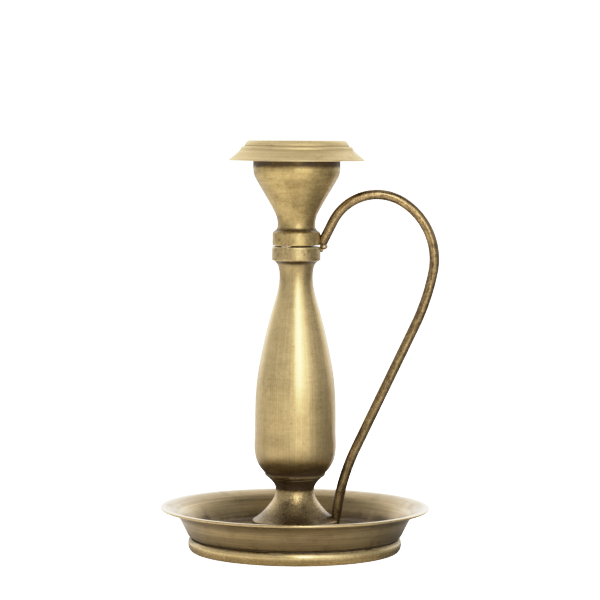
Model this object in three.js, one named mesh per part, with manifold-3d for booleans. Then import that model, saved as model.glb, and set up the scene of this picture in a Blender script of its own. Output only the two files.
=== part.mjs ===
// A brass chamber candlestick: a saucer tray on a foot ring, a turned baluster stem, a candle cup,
// a stepped drip cap that lifts out with its candle socket, and a bent rod handle.
// A threaded rod runs up the middle and clamps tray, foot, stem and cup together.
// Millimetres, +Z up. Outlines are (radius, height) pairs, with height 0 on the table.

import * as THREE from "three";
import { mergeVertices } from "three/addons/utils/BufferGeometryUtils.js";
import Module from "manifold-3d";

// ---------------------------------------------------------------- driving dimensions

const GAP = 0.3; // air between pieces that touch
const SHEET = 1.5; // thickness of the spun tray
const TURNS = 40; // facets round a large turned piece
const PLATE_SEGMENTS = 8; // divisions of each curve in a washer's outline

const RING = { height: 8.0, inner: 55.2, lip: 57.4, lipDrop: 0.5 };
const TRAY = { rim: 75.6, rimHeight: 25.15, corner: 59.7, floor: 56.4, wallLean: 27, flare: 12.0 };
const CORNER = { outer: 1.9, inner: 2.6 }; // how far the tray's bend reaches, outside and inside
const FOOT = { radius: 24.0, wall: 3.0 };
const STEM = { wall: 2.8 };
const COLLAR = {
  lower: 13.7, lowerBase: 163.9, lowerTop: 171.5,
  upper: 13.5, upperBase: 172.9, upperTop: 178.6,
};
const SPIGOT = { radius: 8.0, top: 178.0 };
const CUP = { radius: 24.5, mouth: 22.0, floor: 188.5, floorRadius: 8.2, rim: 228.0 };
const CAP = { dish: 229.2, bore: 12.9, sheet: 1.3, seat: 26.4, shoulder: 28.6, shoulderHeight: 226.4 };
const REGISTER = { outer: 21.3, inner: 20.1, base: 217 };
const SOCKET = { bore: 11.6, outer: 12.5, base: 203, floor: 204.2, flange: 15.4, top: 230.4 };
const ROD = { radius: 3.0, clearance: 3.3, base: 0.9, top: 187.6 }; // M6 tie rod
const WASHER = { radius: 9.0, thickness: 1.2 };
const LOCK = { radius: 5.5, thickness: 1.4, split: 14 };
const NUT = { acrossFlats: 10.0, thickness: 3.2 };

// The handle is bent from round rod in the XZ plane: where its top end starts, which way it heads,
// then the bends in order. A positive turn is clockwise, seen with +X to the right.
const HANDLE = { radius: 3.0, startX: 14.2, startZ: 173.0, heading: 63.5, sides: 5, steps: 50 };
const BENDS = [
  { straight: 14.1 },
  { bend: 27.5, turn: 96.1 },
  { bend: 37.9, turn: 68.5 },
  { bend: 127, turn: 14.2 },
  { straight: 76.6 },
  { bend: 120, turn: -21.3 },
];

const TOP_BRAZE = { x: 15.4, z: 171.4, size: [2.5, 3.3, 2.5] };
const FOOT_BRAZE = { x: 25.6, z: 12.9, size: [3.2, 4.2, 3.4] };
const SOLDER_BEAD = { angle: 245, radius: 12.9, size: [1.9, 1.3, 0.4] };

// Curved sides, as stations of [radius, height, heading]. The heading is the way the outline is
// travelling there, in degrees: 0 is outwards, 90 is straight up.
const RING_SIDE = [[57.7, 0, 15], [60.1, 4.3, 90], [58.6, 7.5, 170]];
const FOOT_SIDE = [
  [24.0, 16.5, 90], [23.3, 17.8, 148], [15.7, 24.4, 130], [10.8, 34.4, 90], [14.9, 41.3, 40],
];
const FOOT_INSIDE = [[6.6, 33, 270], [21.0, 15.5, 290]];
const STEM_SIDE = [
  [17.1, 44.2, 48], [22.3, 52.9, 76], [22.85, 68, 90], [20.6, 104.5, 100],
  [13.4, 136, 105.4], [9.45, 155, 90], [13.2, 163.7, 18],
];
const STEM_INSIDE = [
  [6.6, 155, 270], [10.6, 136, 285], [17.7, 104.5, 280], [20.0, 68, 270], [19.4, 54, 260],
];
const CUP_SIDE = [
  [13.5, 178.6, 90], [12.2, 180.4, 150], [10.6, 184, 90], [13.6, 193.2, 61],
  [22.8, 209.0, 60], [24.5, 215.4, 90],
];
const CUP_INSIDE = [[22.0, 214, 270], [19.0, 206.8, 240], [9.6, 190.6, 240]];
const SKIRT_INSIDE = [[30.7, 223.8, 318], [37.2, 219.45, 340]];
const SKIRT = [[38.1, 219.6, 100], [37.4, 220.6, 142], [32.0, 225.3, 136]];
const LOWER_STEP = [[31.5, 226.1, 90], [31.0, 227.2, 130], [29.6, 227.5, 180]];
const UPPER_STEP = [[29.3, 227.8, 90], [28.6, 229.2, 110], [25.6, 230.9, 172]];

// ---------------------------------------------------------------- materials

function metal(color, roughness) {
  return new THREE.MeshStandardMaterial({ color, roughness, metalness: 1 });
}

const PALE_BRASS = () => metal(0xc9b37e, 0.4);
const ANTIQUE_BRASS = () => metal(0xa58a54, 0.38);
const DARK_BRASS = () => metal(0x7d6844, 0.45);
const BRAZE = () => metal(0x9c8a66, 0.55);
const STEEL = () => metal(0x9a9a98, 0.35);

// ---------------------------------------------------------------- shared shapes

const wasm = await Module();
wasm.setup();

const rad = THREE.MathUtils.degToRad;

// Revolves a closed outline, or one that starts and ends on the axis, about Z.
function turned(path, divisions = 3, facets = TURNS) {
  const geometry = new THREE.LatheGeometry(path.getPoints(divisions), facets);
  geometry.rotateX(Math.PI / 2);
  return geometry;
}

// Runs an outline smoothly through its stations, after a straight line to the first one.
function flow(path, stations) {
  let [r, z, heading] = stations[0];
  path.lineTo(r, z);
  for (const [nextR, nextZ, nextHeading] of stations.slice(1)) {
    const pull = Math.hypot(nextR - r, nextZ - z) * 0.36;
    const leave = rad(heading);
    const arrive = rad(nextHeading);
    path.bezierCurveTo(
      r + pull * Math.cos(leave), z + pull * Math.sin(leave),
      nextR - pull * Math.cos(arrive), nextZ - pull * Math.sin(arrive),
      nextR, nextZ,
    );
    [r, z, heading] = [nextR, nextZ, nextHeading];
  }
}

function ellipsoid(x, y, z, size) {
  const geometry = new THREE.SphereGeometry(1, 12, 6);
  geometry.scale(...size);
  geometry.translate(x, y, z);
  return geometry;
}

function toSolid(geometry) {
  const bare = geometry.clone();
  bare.deleteAttribute("normal");
  bare.deleteAttribute("uv");
  const merged = mergeVertices(bare, 1e-4);
  const vertProperties = new Float32Array(merged.attributes.position.array);
  const triVerts = new Uint32Array(merged.index.array);
  return new wasm.Manifold(new wasm.Mesh({ numProp: 3, vertProperties, triVerts }));
}

// Cuts a piece back from each neighbour, which is given with its clearance already added.
function cutBack(geometry, ...neighbours) {
  let solid = toSolid(geometry);
  for (const neighbour of neighbours) solid = solid.subtract(toSolid(neighbour));
  const mesh = solid.getMesh();
  const result = new THREE.BufferGeometry();
  result.setAttribute("position", new THREE.BufferAttribute(mesh.vertProperties, 3));
  result.setIndex(new THREE.BufferAttribute(mesh.triVerts, 1));
  return result;
}

function piece(name, geometry, material) {
  const mesh = new THREE.Mesh(geometry, material);
  mesh.name = name;
  return mesh;
}

// ---------------------------------------------------------------- base

function footRing() {
  const outline = new THREE.Path();
  outline.moveTo(RING.inner, 0);
  flow(outline, RING_SIDE);
  outline.lineTo(RING.lip, RING.height - RING.lipDrop);
  outline.lineTo(RING.lip, RING.height);
  outline.lineTo(RING.inner, RING.height);
  outline.closePath();
  return piece("foot_ring", turned(outline), ANTIQUE_BRASS());
}

// The tray's wall leans out, then flares like a trumpet to a rim that ends level.
function tray() {
  const under = RING.height + GAP;
  const floor = under + SHEET;
  const edge = SHEET / 2;
  const lean = rad(TRAY.wallLean);
  const flareX = TRAY.rim - edge;
  const flareZ = TRAY.rimHeight - SHEET - TRAY.flare;
  const inward = SHEET / Math.cos(lean);
  const wallAt = (z) => TRAY.corner + (z - under) * Math.tan(lean);
  const outline = new THREE.Path();
  outline.moveTo(ROD.clearance, under);
  outline.lineTo(TRAY.corner - CORNER.outer, under);
  outline.quadraticCurveTo(TRAY.corner, under, wallAt(under + SHEET), under + SHEET);
  outline.absarc(flareX, flareZ, TRAY.flare, Math.PI - lean, Math.PI / 2, true);
  outline.absarc(flareX, TRAY.rimHeight - edge, edge, -Math.PI / 2, Math.PI / 2, false);
  outline.absarc(flareX, flareZ, TRAY.flare + SHEET, Math.PI / 2, Math.PI - lean, false);
  outline.lineTo(wallAt(floor + CORNER.inner) - inward, floor + CORNER.inner);
  outline.quadraticCurveTo(wallAt(floor) - inward, floor, TRAY.floor, floor);
  outline.lineTo(ROD.clearance, floor);
  outline.closePath();
  return piece("tray", turned(outline, 2), ANTIQUE_BRASS());
}

// ---------------------------------------------------------------- foot and stem

const FLOOR = RING.height + GAP + SHEET;
const FOOT_BASE = FLOOR + GAP;
const [FOOT_SEAT, FOOT_TOP] = FOOT_SIDE.at(-1);

// The foot's outside, from its base up to the stem, moved outwards by grow.
function footOutline(grow = 0) {
  const outline = new THREE.Path();
  outline.moveTo(FOOT.radius + grow, FOOT_BASE - grow);
  flow(outline, FOOT_SIDE.map(([r, z, heading]) => [r + grow, z, heading]));
  return outline;
}

// A casting, hollow underneath, that stands on the tray.
function stemFoot() {
  const inside = FOOT.radius - FOOT.wall;
  const outline = footOutline();
  outline.lineTo(ROD.clearance, FOOT_TOP);
  outline.lineTo(ROD.clearance, FOOT_TOP - FOOT.wall);
  flow(outline, FOOT_INSIDE);
  outline.lineTo(inside, FOOT_BASE);
  outline.closePath();
  return piece("stem_foot", turned(outline), ANTIQUE_BRASS());
}

// A hollow baluster with a bead at the bottom, a collar at the top, and a spigot for the cup.
function stem() {
  const base = FOOT_TOP + GAP;
  const [bead, beadTop] = STEM_SIDE[0];
  const chamfer = 0.4;
  const outline = new THREE.Path();
  outline.moveTo(FOOT_SEAT + chamfer, base);
  outline.lineTo(bead - chamfer / 2, base + 3 * chamfer);
  flow(outline, STEM_SIDE);
  outline.lineTo(COLLAR.lower, COLLAR.lowerBase);
  outline.lineTo(COLLAR.lower, COLLAR.lowerTop - chamfer);
  outline.lineTo(COLLAR.lower - chamfer, COLLAR.lowerTop);
  outline.lineTo(SPIGOT.radius, COLLAR.lowerTop);
  outline.lineTo(SPIGOT.radius, SPIGOT.top);
  outline.lineTo(ROD.clearance, SPIGOT.top);
  outline.lineTo(ROD.clearance, COLLAR.lowerBase - STEM.wall);
  flow(outline, STEM_INSIDE);
  outline.lineTo(bead - STEM.wall, beadTop + STEM.wall);
  outline.lineTo(ROD.clearance, beadTop + 1);
  outline.lineTo(ROD.clearance, base);
  outline.closePath();
  return piece("stem", turned(outline, 2), ANTIQUE_BRASS());
}

// ---------------------------------------------------------------- cup, cap and socket

// The upper collar is the cup's own base; the stem's spigot and the tie rod end inside it.
function candleCup() {
  const chamfer = 0.4;
  const outline = new THREE.Path();
  outline.moveTo(COLLAR.upper - chamfer, COLLAR.upperBase);
  outline.lineTo(COLLAR.upper, COLLAR.upperBase + chamfer);
  flow(outline, CUP_SIDE);
  outline.lineTo(CUP.radius, CUP.rim - chamfer);
  outline.lineTo(CUP.radius - chamfer, CUP.rim);
  outline.lineTo(CUP.mouth, CUP.rim);
  flow(outline, CUP_INSIDE);
  outline.lineTo(CUP.floorRadius, CUP.floor);
  outline.lineTo(ROD.clearance, CUP.floor);
  outline.lineTo(ROD.clearance, SPIGOT.top + GAP);
  outline.lineTo(SPIGOT.radius + GAP, SPIGOT.top + GAP);
  outline.lineTo(SPIGOT.radius + GAP, COLLAR.upperBase);
  outline.closePath();
  return piece("candle_cup", turned(outline, 2), ANTIQUE_BRASS());
}

// A spun cap: two stepped rings over a flared skirt, and a register flange that drops into the cup.
function dripCap() {
  const under = CUP.rim + GAP;
  const top = UPPER_STEP.at(-1)[1];
  const outline = new THREE.Path();
  outline.moveTo(CAP.bore, CAP.dish);
  outline.lineTo(CAP.bore, CAP.dish - CAP.sheet);
  outline.lineTo(REGISTER.inner, CAP.dish - CAP.sheet);
  outline.lineTo(REGISTER.inner, REGISTER.base);
  outline.lineTo(REGISTER.outer, REGISTER.base);
  outline.lineTo(REGISTER.outer, under);
  outline.lineTo(CAP.seat, under);
  outline.lineTo(CAP.shoulder, CAP.shoulderHeight);
  flow(outline, SKIRT_INSIDE);
  flow(outline, SKIRT);
  flow(outline, LOWER_STEP);
  flow(outline, UPPER_STEP);
  outline.lineTo(CUP.radius, top);
  outline.lineTo(CUP.mouth - 1, CAP.dish);
  outline.closePath();
  return piece("drip_cap", turned(outline, 2), PALE_BRASS());
}

// A thimble for a 22 mm candle, with its mouth turned over onto the cap.
function candleSocket() {
  const flangeBase = CAP.dish + GAP;
  const chamfer = 0.8;
  const outline = new THREE.Path();
  outline.moveTo(0, SOCKET.base);
  outline.lineTo(SOCKET.outer - chamfer, SOCKET.base);
  outline.lineTo(SOCKET.outer, SOCKET.base + chamfer);
  outline.lineTo(SOCKET.outer, flangeBase);
  outline.lineTo(SOCKET.flange, flangeBase);
  outline.quadraticCurveTo(SOCKET.flange, SOCKET.top, SOCKET.bore + 1.2, SOCKET.top);
  outline.lineTo(SOCKET.bore, SOCKET.top - chamfer);
  outline.lineTo(SOCKET.bore, SOCKET.floor);
  outline.lineTo(0, SOCKET.floor);
  return piece("candle_socket", turned(outline, 2, 24), DARK_BRASS());
}

// ---------------------------------------------------------------- handle and its joints

// Follows the bends with a running position and heading, and returns the route in the XZ plane.
function handleRoute() {
  const route = new THREE.Path();
  let x = HANDLE.startX;
  let z = HANDLE.startZ;
  let heading = rad(HANDLE.heading);
  route.moveTo(x, z);
  for (const { straight, bend, turn } of BENDS) {
    if (straight) {
      x += straight * Math.cos(heading);
      z += straight * Math.sin(heading);
      route.lineTo(x, z);
      continue;
    }
    const side = Math.sign(turn);
    const centreX = x + side * bend * Math.sin(heading);
    const centreZ = z - side * bend * Math.cos(heading);
    const from = heading + (side * Math.PI) / 2;
    heading -= rad(turn);
    const to = heading + (side * Math.PI) / 2;
    route.absarc(centreX, centreZ, bend, from, to, side > 0);
    x = centreX + bend * Math.cos(to);
    z = centreZ + bend * Math.sin(to);
  }
  return route;
}

class UprightCurve extends THREE.Curve {
  constructor(route) {
    super();
    this.route = route;
  }

  getPoint(t) {
    const { x, y } = this.route.getPoint(t);
    return new THREE.Vector3(x, 0, y);
  }
}

function rodAlongHandle(radius) {
  const section = new THREE.Shape();
  section.absarc(0, 0, radius, 0, 2 * Math.PI, false);
  return new THREE.ExtrudeGeometry(section, {
    steps: HANDLE.steps,
    curveSegments: HANDLE.sides,
    extrudePath: new UprightCurve(handleRoute()),
  });
}

function collarEnvelope() {
  const outline = new THREE.Path();
  outline.moveTo(0, COLLAR.lowerBase);
  outline.lineTo(COLLAR.lower + GAP, COLLAR.lowerBase);
  outline.lineTo(COLLAR.lower + GAP, COLLAR.upperBase - GAP);
  outline.lineTo(COLLAR.upper + GAP, COLLAR.upperBase);
  outline.lineTo(COLLAR.upper + GAP, COLLAR.upperTop + GAP);
  outline.lineTo(0, COLLAR.upperTop + GAP);
  return turned(outline);
}

function footEnvelope() {
  const outline = footOutline(GAP);
  outline.lineTo(0, FOOT_TOP);
  outline.lineTo(0, FLOOR);
  outline.closePath();
  return turned(outline);
}

function floorEnvelope() {
  const outline = new THREE.Path();
  outline.moveTo(0, 0);
  outline.lineTo(TRAY.floor, 0);
  outline.lineTo(TRAY.floor, FOOT_BASE);
  outline.lineTo(0, FOOT_BASE);
  return turned(outline, 1, 16);
}

function handle() {
  const rod = rodAlongHandle(HANDLE.radius);
  return piece("handle", cutBack(rod, collarEnvelope(), footEnvelope()), DARK_BRASS());
}

function handleTopBraze() {
  const blob = ellipsoid(TOP_BRAZE.x, 0, TOP_BRAZE.z, TOP_BRAZE.size);
  const fitted = cutBack(blob, collarEnvelope(), rodAlongHandle(HANDLE.radius + GAP));
  return piece("handle_top_braze", fitted, BRAZE());
}

function handleFootBraze() {
  const blob = ellipsoid(FOOT_BRAZE.x, 0, FOOT_BRAZE.z, FOOT_BRAZE.size);
  const neighbours = [footEnvelope(), floorEnvelope(), rodAlongHandle(HANDLE.radius + GAP)];
  return piece("handle_foot_braze", cutBack(blob, ...neighbours), BRAZE());
}

// A tack of solder in the open gap between the two collars, at the front left.
function collarSolderBead() {
  const mesh = piece("collar_solder_bead", ellipsoid(0, 0, 0, SOLDER_BEAD.size), BRAZE());
  const angle = rad(SOLDER_BEAD.angle);
  const middle = (COLLAR.lowerTop + COLLAR.upperBase) / 2;
  mesh.position.set(SOLDER_BEAD.radius * Math.cos(angle), SOLDER_BEAD.radius * Math.sin(angle), middle);
  mesh.rotation.z = angle + Math.PI / 2;
  return mesh;
}

// ---------------------------------------------------------------- fasteners under the tray

function tieRod() {
  const chamfer = 0.5;
  const outline = new THREE.Path();
  outline.moveTo(0, ROD.base);
  outline.lineTo(ROD.radius - chamfer, ROD.base);
  outline.lineTo(ROD.radius, ROD.base + chamfer);
  outline.lineTo(ROD.radius, ROD.top - chamfer);
  outline.lineTo(ROD.radius - chamfer, ROD.top);
  outline.lineTo(0, ROD.top);
  return piece("tie_rod", turned(outline, 1, 16), STEEL());
}

function plateWithHole(outer, thickness, top) {
  const hole = new THREE.Path();
  hole.absarc(0, 0, ROD.clearance, 0, 2 * Math.PI, true);
  outer.holes.push(hole);
  const settings = { depth: thickness, bevelEnabled: false, curveSegments: PLATE_SEGMENTS };
  const geometry = new THREE.ExtrudeGeometry(outer, settings);
  geometry.translate(0, 0, top - thickness);
  return geometry;
}

const WASHER_TOP = RING.height;
const LOCK_TOP = WASHER_TOP - WASHER.thickness - GAP;
const NUT_TOP = LOCK_TOP - LOCK.thickness - GAP;

function washer() {
  const disc = new THREE.Shape();
  disc.absarc(0, 0, WASHER.radius, 0, 2 * Math.PI, false);
  return piece("washer", plateWithHole(disc, WASHER.thickness, WASHER_TOP), STEEL());
}

// A split spring washer.
function lockWasher() {
  const open = rad(LOCK.split / 2);
  const ring = new THREE.Shape();
  ring.absarc(0, 0, LOCK.radius, open, 2 * Math.PI - open, false);
  ring.absarc(0, 0, ROD.clearance, 2 * Math.PI - open, open, true);
  const settings = { depth: LOCK.thickness, bevelEnabled: false, curveSegments: PLATE_SEGMENTS };
  const geometry = new THREE.ExtrudeGeometry(ring, settings);
  geometry.translate(0, 0, LOCK_TOP - LOCK.thickness);
  return piece("lock_washer", geometry, STEEL());
}

function hexNut() {
  const hexagon = new THREE.Shape();
  const corner = NUT.acrossFlats / Math.sqrt(3);
  for (let side = 0; side < 6; side += 1) {
    const angle = (side * Math.PI) / 3;
    const go = side === 0 ? "moveTo" : "lineTo";
    hexagon[go](corner * Math.cos(angle), corner * Math.sin(angle));
  }
  return piece("hex_nut", plateWithHole(hexagon, NUT.thickness, NUT_TOP), STEEL());
}

// ---------------------------------------------------------------- assembly

const stand = new THREE.Group();
stand.add(footRing(), tray(), stemFoot(), stem(), candleCup());
stand.add(handle(), handleTopBraze(), handleFootBraze(), collarSolderBead());
stand.add(tieRod(), washer(), lockWasher(), hexNut());

const liftOut = new THREE.Group();
liftOut.add(dripCap(), candleSocket());

const candlestick = new THREE.Group();
candlestick.add(stand, liftOut);

// The handle reaches further than the tray, so the stem's axis stands a little to -X of the origin,
// which is the middle of the whole footprint at table level.
const bounds = new THREE.Box3().setFromObject(candlestick);
candlestick.position.x = -(bounds.min.x + bounds.max.x) / 2;

export default candlestick;
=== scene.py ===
"""The looks of a brass chamber candlestick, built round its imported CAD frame. Metres, +Z up.

Every turned piece is revolved again from the CAD's outline at a fine pitch, the handle is swept
again along the CAD's bends, and each piece gets its own aged metal. Outlines are in millimetres
from the stem's axis and the table, and MM turns them into metres.
"""

import math

import bmesh
import bpy
import numpy as np
from mathutils import Matrix, Vector, noise


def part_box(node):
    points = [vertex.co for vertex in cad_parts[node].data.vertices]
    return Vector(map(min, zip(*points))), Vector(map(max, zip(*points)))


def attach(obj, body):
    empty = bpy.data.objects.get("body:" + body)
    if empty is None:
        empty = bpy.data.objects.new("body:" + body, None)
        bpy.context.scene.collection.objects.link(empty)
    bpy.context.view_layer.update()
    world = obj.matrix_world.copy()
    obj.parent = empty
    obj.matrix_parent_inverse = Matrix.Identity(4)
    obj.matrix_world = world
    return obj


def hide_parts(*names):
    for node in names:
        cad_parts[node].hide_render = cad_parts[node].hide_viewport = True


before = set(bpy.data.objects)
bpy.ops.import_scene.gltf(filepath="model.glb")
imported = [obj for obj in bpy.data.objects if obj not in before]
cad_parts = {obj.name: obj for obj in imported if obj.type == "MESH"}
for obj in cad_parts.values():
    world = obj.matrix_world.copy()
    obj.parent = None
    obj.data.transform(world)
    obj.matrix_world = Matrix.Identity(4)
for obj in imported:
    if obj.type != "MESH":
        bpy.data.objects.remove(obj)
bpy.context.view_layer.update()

MM = 0.001


# ------------------------------------------------------------------ places, from the frame

def heights(node):
    """A node's lowest and highest height, in millimetres."""
    low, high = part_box(node)
    return low.z / MM, high.z / MM


def outer_radius(node):
    low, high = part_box(node)
    return (high.x - low.x) / 2 / MM


stem_low, stem_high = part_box("stem")
AXIS = Vector(((stem_low.x + stem_high.x) / 2, 0, 0))

RING_BASE, RING_TOP = heights("foot_ring")
TRAY_UNDER, TRAY_RIM = heights("tray")
FOOT_BASE, FOOT_TOP = heights("stem_foot")
STEM_BASE, SPIGOT_TOP = heights("stem")
CUP_BASE, CUP_RIM = heights("candle_cup")
REGISTER_BASE, CAP_TOP = heights("drip_cap")
SOCKET_BASE, SOCKET_TOP = heights("candle_socket")
ROD_BASE, ROD_TOP = heights("tie_rod")

RIM_RADIUS = outer_radius("tray")
RING_INNER, RING_LIP = 55.2, 57.4
SHEET = 1.5
FLOOR = TRAY_UNDER + SHEET
ROD_HOLE = 3.3
HANDLE_RADIUS = 3.0
COLLAR_GAP = 171.5

# Curved sides, as the CAD has them: stations of (radius, height, heading), where heading is the way
# the outline is travelling there, in degrees, 0 outwards and 90 straight up.
RING_SIDE = [(57.7, 0, 15), (60.1, 4.3, 90), (58.6, 7.5, 170)]
FOOT_SIDE = [
    (24.0, 16.5, 90), (23.3, 17.8, 148), (15.7, 24.4, 130), (10.8, 34.4, 90), (14.9, 41.3, 40),
]
FOOT_INSIDE = [(6.6, 33, 270), (21.0, 15.5, 290)]
STEM_SIDE = [
    (17.1, 44.2, 48), (22.3, 52.9, 76), (22.85, 68, 90), (20.6, 104.5, 100),
    (13.4, 136, 105.4), (9.45, 155, 90), (13.2, 163.7, 18),
]
STEM_INSIDE = [
    (6.6, 155, 270), (10.6, 136, 285), (17.7, 104.5, 280), (20.0, 68, 270), (19.4, 54, 260),
]
CUP_SIDE = [
    (13.5, 178.6, 90), (12.2, 180.4, 150), (10.6, 184, 90), (13.6, 193.2, 61),
    (22.8, 209.0, 60), (24.5, 215.4, 90),
]
CUP_INSIDE = [(22.0, 214, 270), (19.0, 206.8, 240), (9.6, 190.6, 240)]
SKIRT_INSIDE = [(30.7, 223.8, 318), (37.2, 219.45, 340)]
SKIRT = [(38.1, 219.6, 100), (37.4, 220.6, 142), (32.0, 225.3, 136)]
LOWER_STEP = [(31.5, 226.1, 90), (31.0, 227.2, 130), (29.6, 227.5, 180)]
UPPER_STEP = [(29.3, 227.8, 90), (28.9, 229.0, 100)]
TOP_STEP = [(28.6, 229.3, 95), (27.9, 230.2, 125), (25.6, 230.9, 172)]

# The handle's bends, as the CAD has them. A positive turn is clockwise, seen with +X to the right.
HANDLE_START = (14.2, 173.0)
HANDLE_HEADING = 63.5
BENDS = [
    {"straight": 14.1},
    {"bend": 27.5, "turn": 96.1},
    {"bend": 37.9, "turn": 68.5},
    {"bend": 127, "turn": 14.2},
    {"straight": 76.6},
    {"bend": 120, "turn": -21.3},
]


# ------------------------------------------------------------------ outlines

class Outline:
    """The closed outline of a turned piece, as (radius, height) points in millimetres."""

    def __init__(self, radius, height):
        self.points = [Vector((radius, height))]

    def line(self, radius, height):
        self.points.append(Vector((radius, height)))
        return self

    def bend(self, corner, end, steps=10):
        """Rounds a corner, from the last point to end."""
        start, corner, end = self.points[-1], Vector(corner), Vector(end)
        for step in range(1, steps + 1):
            t = step / steps
            self.points.append(start.lerp(corner, t).lerp(corner.lerp(end, t), t))
        return self

    def arc(self, centre, radius, start, end, steps=20):
        for step in range(steps + 1):
            angle = math.radians(start + (end - start) * step / steps)
            self.points.append(Vector(centre) + radius * Vector((math.cos(angle), math.sin(angle))))
        return self

    def flow(self, stations, steps=16):
        """Runs smoothly through the stations, after a straight line to the first one."""
        self.line(*stations[0][:2])
        for (r, z, leaving), (next_r, next_z, arriving) in zip(stations, stations[1:]):
            start, end = Vector((r, z)), Vector((next_r, next_z))
            pull = (end - start).length * 0.36
            first = start + pull * heading(leaving)
            second = end - pull * heading(arriving)
            for step in range(1, steps + 1):
                t = step / steps
                a, b, c = start.lerp(first, t), first.lerp(second, t), second.lerp(end, t)
                self.points.append(a.lerp(b, t).lerp(b.lerp(c, t), t))
        return self


def heading(degrees):
    return Vector((math.cos(math.radians(degrees)), math.sin(math.radians(degrees))))


def softened(points, reach=0.25, sharp=24):
    """Rounds each corner sharper than that many degrees, and holds the flats beside it flat."""
    soft = []
    for index, point in enumerate(points):
        before, after = points[index - 1], points[(index + 1) % len(points)]
        arrive, leave = point - before, after - point
        if arrive.length < 1e-6:
            continue
        turn = math.degrees(arrive.angle(leave, 0)) if leave.length > 1e-6 else 0
        on_axis = point.x < 1e-6
        if turn < sharp or on_axis:
            soft.append(point)
            continue
        back = min(reach, arrive.length * 0.4)
        ahead = min(reach, leave.length * 0.4)
        start, end = point - arrive.normalized() * back, point + leave.normalized() * ahead
        if arrive.length > 4 * back:
            soft.append(point - arrive.normalized() * back * 2)
        for step in range(5):
            t = step / 4
            soft.append(start.lerp(point, t).lerp(point.lerp(end, t), t))
        if leave.length > 4 * ahead:
            soft.append(point + leave.normalized() * ahead * 2)
    return soft


def hollows_and_edges(points, span=1.1):
    """For each point of a closed outline: the run up to it, and its place in a hollow or on an edge.

    The last two go from 0 to 1, and look as far as span either way along the outline.
    """
    xy = np.array([p[:] for p in points])
    step = np.linalg.norm(np.roll(xy, -1, 0) - xy, axis=1)
    run = np.concatenate([[0], np.cumsum(step)[:-1]])
    total = step.sum()
    looped = np.concatenate([run - total, run, run + total])

    def at(s):
        return np.stack([np.interp(s, looped, np.tile(xy[:, k], 3)) for k in (0, 1)], 1)

    behind, ahead = at(run - span), at(run + span)
    tangent = ahead - behind
    size = np.maximum(np.linalg.norm(tangent, axis=1), 1e-9)
    x, y = xy[:, 0], xy[:, 1]
    area = np.sum(x * np.roll(y, -1) - np.roll(x, -1) * y)
    side = 1 if area > 0 else -1
    outward = np.stack([tangent[:, 1], -tangent[:, 0]], 1) / size[:, None] * side
    rise = np.sum(((behind + ahead) / 2 - xy) * outward, 1) / span
    return run, np.clip(rise * 2.2, 0, 1), np.clip(-rise * 1.8, 0, 1)


# ------------------------------------------------------------------ pieces

def put_marks(mesh, marks):
    """Stores what the materials read at each vertex, one number or one vector under each name."""
    for name, values in marks.items():
        values = np.asarray(values, np.float32)
        kind = "FLOAT_VECTOR" if values.ndim == 2 else "FLOAT"
        layer = mesh.attributes.new(name, kind, "POINT")
        layer.data.foreach_set("vector" if values.ndim == 2 else "value", values.ravel())


def make_piece(name, mesh, material, body, slot, *nodes):
    """Links a mesh made round the stem's axis as a piece.

    It rides on a body, takes its finish from the material, and stands for the nodes. slot is not
    used.
    """
    for polygon in mesh.polygons:
        polygon.use_smooth = True
    mesh.materials.append(material)
    piece = bpy.data.objects.new(name, mesh)
    bpy.context.scene.collection.objects.link(piece)
    piece.location = AXIS
    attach(piece, body)
    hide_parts(*nodes)
    return piece


def closed_mesh(name, vertices, faces):
    """A mesh whose faces all point out."""
    mesh = bpy.data.meshes.new(name)
    mesh.from_pydata([tuple(v) for v in vertices], [], faces)
    shape = bmesh.new()
    shape.from_mesh(mesh)
    bmesh.ops.recalc_face_normals(shape, faces=shape.faces)
    shape.to_mesh(mesh)
    shape.free()
    return mesh


def nowhere(radius, height):
    """A mark that no point of an outline has."""
    return 0.0


def ramped(value, low, high):
    """0 below low, 1 above high, and straight between them."""
    return max(0.0, min(1.0, (value - low) / (high - low)))


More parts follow.
